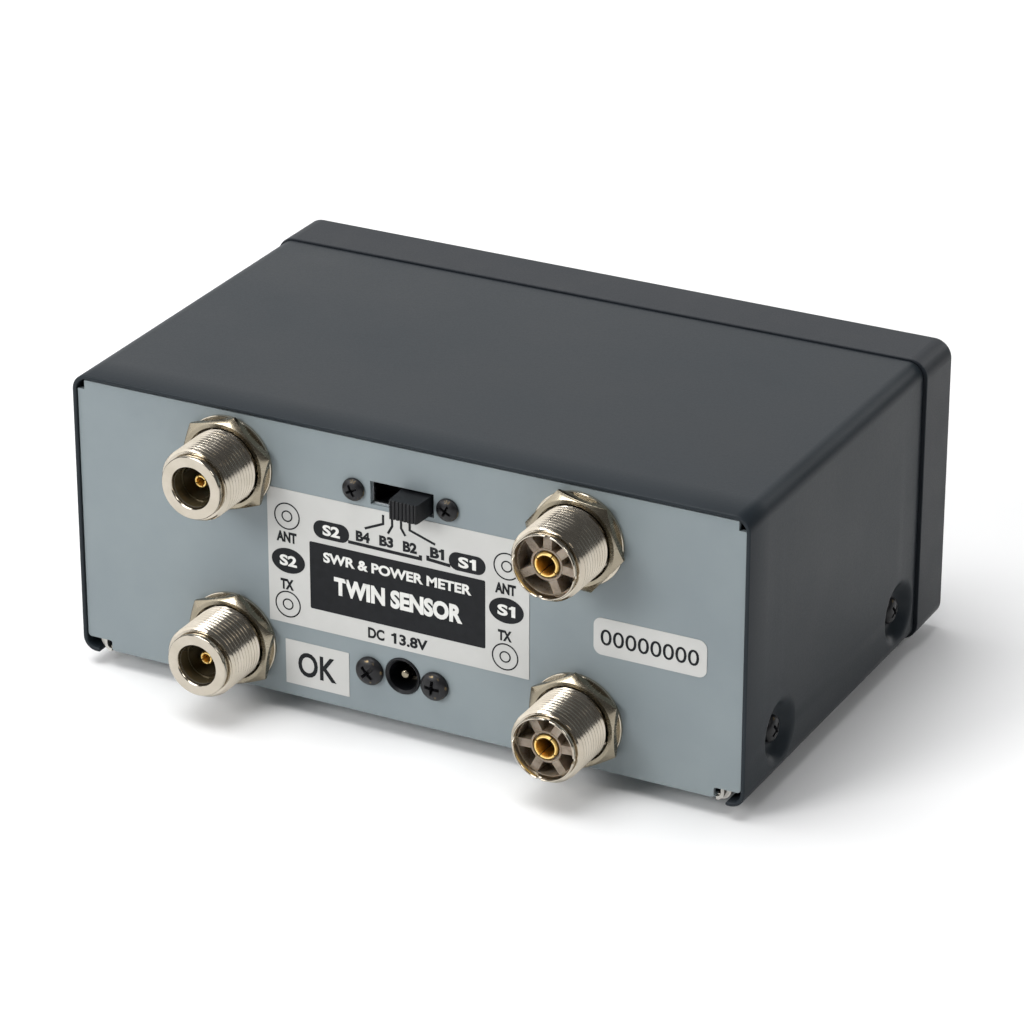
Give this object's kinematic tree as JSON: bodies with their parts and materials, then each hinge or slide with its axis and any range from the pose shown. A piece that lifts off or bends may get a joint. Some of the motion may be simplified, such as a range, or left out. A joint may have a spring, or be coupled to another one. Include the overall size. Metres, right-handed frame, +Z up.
{
  "type": "swr meter",
  "caption": "Bench radio power and standing-wave meter: low metal case, needle meter and controls in front, four coaxial receptacles, a band switch and a supply jack behind.",
  "frame": {"origin": "middle of the object's base: half of the width and depth, at the underside of the feet", "axes": "+X to the right when looking at the meter face, +Y towards the connectors, +Z up"},
  "size_m": [0.155, 0.126, 0.0666],
  "materials": {
    "case_paint": "semi-matt dark blue-grey powder coat",
    "panel_paint": "satin light blue-grey paint",
    "bezel_plastic": "semi-matt dark moulding",
    "black_plastic": "satin black moulding",
    "knob_plastic": "low-gloss black moulding",
    "clear_plastic": "clear moulded window",
    "dial_print": "printed off-white dial",
    "label_film": "printed sticker film",
    "nickel": "bright nickel plate",
    "gold": "gold plate over brass",
    "brown_insulator": "brown thermoset insulator",
    "white_insulator": "fluoropolymer insulator",
    "black_screw": "black oxide steel",
    "bare_steel": "zinc-plated steel",
    "magnet": "sintered magnet and ferrite",
    "copper": "tinned copper and enamelled wire",
    "aluminium": "thin sheet",
    "circuit_board": "glass-epoxy laminate",
    "component_black": "moulded component",
    "lamp_glass": "small clear lamp",
    "rubber": "moulded rubber",
    "wire_insulation": "PVC insulation",
    "needle_paint": "red painted pointer"
  },
  "bodies": {
    "case": {"band_switch_body": "black_plastic", "band_switch_frame": "bare_steel", "band_switch_screws": "black_screw", "bezel_screws": "bare_steel", "board_components": "component_black", "board_screws": "bare_steel", "board_spacers": "aluminium", "cal_pot_body": "bare_steel", "cal_pot_nut": "nickel", "chassis": "panel_paint", "connector_nuts": "nickel", "connector_washers": "nickel", "control_board": "circuit_board", "cover_screws": "black_screw", "detector_board": "circuit_board", "dial_plate": "dial_print", "feet": "rubber", "front_bezel": "bezel_plastic", "jack_body": "black_plastic", "jack_contacts": "nickel", "jack_screws": "black_screw", "meter_bridges": "bare_steel", "meter_case": "black_plastic", "meter_core": "bare_steel", "meter_jewels": "gold", "meter_lamps": "lamp_glass", "meter_shroud": "black_plastic", "meter_window": "clear_plastic", "meter_yoke": "magnet", "mode_spring": "bare_steel", "rear_label": "label_film", "s1_ant_shell": "nickel", "s1_contacts": "gold", "s1_insulators": "brown_insulator", "s1_toroid": "magnet", "s1_tx_shell": "nickel", "s2_ant_shell": "nickel", "s2_contacts": "gold", "s2_insulators": "white_insulator", "s2_tx_shell": "nickel", "sensor_boards": "circuit_board", "sensor_housings": "bare_steel", "sensor_lids": "bare_steel", "sensor_lines": "copper", "small_stickers": "label_film", "switch_bodies": "bare_steel", "top_cover": "case_paint", "wires": "wire_insulation"},
    "needle": {"needle": "needle_paint", "moving_coil": "copper", "hairspring": "copper"},
    "zero_screw": {"zero_screw": "black_plastic"},
    "zero_arm": {"zero_arm": "aluminium"},
    "range_lever": {"range_lever": "knob_plastic"},
    "function_lever": {"function_lever": "knob_plastic"},
    "power_lever": {"power_lever": "knob_plastic"},
    "cal_control": {"cal_knob": "knob_plastic", "cal_shaft": "aluminium"},
    "mode_button": {"mode_button": "knob_plastic"},
    "band_selector": {"band_knob": "black_plastic"}
  },
  "joints": [
    {"name": "needle_swing", "type": "hinge", "parent": "case", "child": "needle", "pos_m": [-0.025, -0.04195, 0.0195], "axis": [0, 1, 0], "range_deg": [0, 84], "stiffness_Nm_per_rad": 0.00005},
    {"name": "zero_trim", "type": "hinge", "parent": "case", "child": "zero_screw", "pos_m": [-0.025, -0.04895, 0.0155], "axis": [0, 1, 0], "range_deg": [-40, 40]},
    {"name": "zero_arm_swing", "type": "hinge", "parent": "case", "child": "zero_arm", "pos_m": [-0.025, -0.04465, 0.0195], "axis": [0, 1, 0], "range_deg": [-20, 20]},
    {"name": "range_select", "type": "slide", "parent": "case", "child": "range_lever", "axis": [1, 0, 0], "range_m": [0, 0.008]},
    {"name": "function_select", "type": "slide", "parent": "case", "child": "function_lever", "axis": [1, 0, 0], "range_m": [-0.004, 0.004]},
    {"name": "power_select", "type": "slide", "parent": "case", "child": "power_lever", "axis": [1, 0, 0], "range_m": [-0.004, 0.004]},
    {"name": "cal_turn", "type": "hinge", "parent": "case", "child": "cal_control", "pos_m": [0.0605, -0.05095, 0.0455], "axis": [0, 1, 0], "range_deg": [-150, 150]},
    {"name": "mode_press", "type": "slide", "parent": "case", "child": "mode_button", "axis": [0, 1, 0], "range_m": [0, 0.003], "stiffness_N_per_m": 150, "springref_m": -0.003, "deforming": ["mode_spring"]},
    {"name": "band_select", "type": "slide", "parent": "case", "child": "band_selector", "axis": [1, 0, 0], "range_m": [0, 0.0063]}
  ],
  "couplings": [
    {"joint": "zero_arm_swing", "follows": "zero_trim", "ratio": -0.4}
  ]
}
